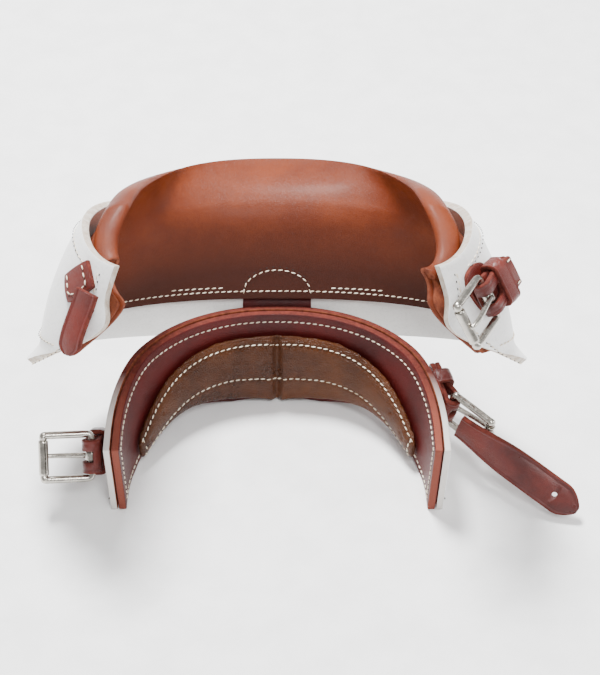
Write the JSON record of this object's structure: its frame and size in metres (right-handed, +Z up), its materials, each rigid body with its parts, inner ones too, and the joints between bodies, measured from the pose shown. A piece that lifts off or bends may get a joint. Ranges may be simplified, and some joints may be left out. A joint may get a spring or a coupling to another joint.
{
  "type": "hinged leather leg boot",
  "caption": "Stiff leather leg boot: a lined cup with a rolled rim, hinged to a padded pastern band, closed by straps and roller buckles.",
  "frame": {"origin": "on the resting surface, in the middle of the back of the pastern band's outer leather", "axes": "+Z up from the resting surface, +X towards the side with the band's strap, +Y towards the closed back"},
  "size_m": [0.2087, 0.1307, 0.1178],
  "materials": {
    "white_leather": "smooth, matt white",
    "tan_leather": "smooth, waxed chestnut tan",
    "oxblood_leather": "smooth, oxblood",
    "band_leather": "white with raw tan edges",
    "pad_leather": "grained, glossy brown",
    "strap_leather": "waxed dark red-brown",
    "nickel": "polished nickel plate",
    "filling": "felt and cotton cord, hidden"
  },
  "bodies": {
    "band": {"band_outer": "band_leather", "band_lining": "oxblood_leather", "band_pad_cover": "pad_leather", "band_pad_filling": "filling", "hinge_leather_band": "oxblood_leather", "band_left_chape": "strap_leather", "band_left_keeper": "strap_leather", "band_right_chape": "strap_leather", "band_right_keeper": "strap_leather"},
    "cup": {"cup_shell": "white_leather", "cup_lining": "tan_leather", "rim_roll": "tan_leather", "rim_cord": "filling", "hinge_leather_cup": "tan_leather", "wing_chape": "strap_leather", "wing_keeper": "strap_leather", "wing_patch": "strap_leather"},
    "strap": {"band_strap": "strap_leather"},
    "billet": {"wing_billet": "strap_leather"},
    "wing_buckle": {"wing_buckle_frame": "nickel"},
    "wing_roller": {"wing_buckle_roller": "nickel"},
    "wing_tongue": {"wing_buckle_tongue": "nickel"},
    "band_left_buckle": {"band_left_buckle_frame": "nickel"},
    "band_left_roller": {"band_left_buckle_roller": "nickel"},
    "band_left_tongue": {"band_left_buckle_tongue": "nickel"},
    "band_right_buckle": {"band_right_buckle_frame": "nickel"},
    "band_right_roller": {"band_right_buckle_roller": "nickel"},
    "band_right_tongue": {"band_right_buckle_tongue": "nickel"}
  },
  "joints": [
    {"name": "cup_hinge", "type": "hinge", "parent": "band", "child": "cup", "pos_m": [0, 0.0095, 0.041], "axis": [1, 0, 0], "range_deg": [-3, 20]},
    {"name": "wing_buckle_swing", "type": "hinge", "parent": "cup", "child": "wing_buckle", "pos_m": [0.07384, -0.0557, 0.09913], "axis": [-0.446, 0.2547, 0.858], "range_deg": [-9, 48]},
    {"name": "wing_tongue_swing", "type": "hinge", "parent": "wing_buckle", "child": "wing_tongue", "pos_m": [0.07384, -0.0557, 0.09913], "axis": [-0.446, 0.2547, 0.858], "range_deg": [0, 60]},
    {"name": "wing_roller_spin", "type": "hinge", "parent": "wing_buckle", "child": "wing_roller", "pos_m": [0.06519, -0.07148, 0.09931], "axis": [-0.446, 0.2547, 0.858], "continuous": true},
    {"name": "band_left_buckle_swing", "type": "hinge", "parent": "band", "child": "band_left_buckle", "pos_m": [-0.07018, -0.05763, 0.02124], "axis": [0.0208, -0.574, -0.8186], "range_deg": [-50, 5]},
    {"name": "band_left_tongue_swing", "type": "hinge", "parent": "band_left_buckle", "child": "band_left_tongue", "pos_m": [-0.07018, -0.05763, 0.02124], "axis": [0.0208, -0.574, -0.8186], "range_deg": [0, 30]},
    {"name": "band_left_roller_spin", "type": "hinge", "parent": "band_left_buckle", "child": "band_left_roller", "pos_m": [-0.08803, -0.05974, 0.02227], "axis": [0.0208, -0.574, -0.8186], "continuous": true},
    {"name": "band_right_buckle_swing", "type": "hinge", "parent": "band", "child": "band_right_buckle", "pos_m": [0.06665, -0.03462, 0.02494], "axis": [0.1677, -0.2169, 0.9617], "range_deg": [-26, 24]},
    {"name": "band_right_tongue_swing", "type": "hinge", "parent": "band_right_buckle", "child": "band_right_tongue", "pos_m": [0.06665, -0.03462, 0.02494], "axis": [0.1677, -0.2169, 0.9617], "range_deg": [0, 50]},
    {"name": "band_right_roller_spin", "type": "hinge", "parent": "band_right_buckle", "child": "band_right_roller", "pos_m": [0.08036, -0.04526, 0.02015], "axis": [0.1677, -0.2169, 0.9617], "continuous": true},
    {"name": "strap_bend", "type": "hinge", "parent": "band_right_buckle", "child": "strap", "pos_m": [0.08036, -0.04526, 0.02015], "axis": [0.1677, -0.2169, 0.9617], "range_deg": [-18, 20]},
    {"name": "billet_bend", "type": "hinge", "parent": "cup", "child": "billet", "pos_m": [-0.06623, -0.05658, 0.10215], "axis": [-0.8202, 0.5142, -0.2508], "range_deg": [0, 25]}
  ]
}
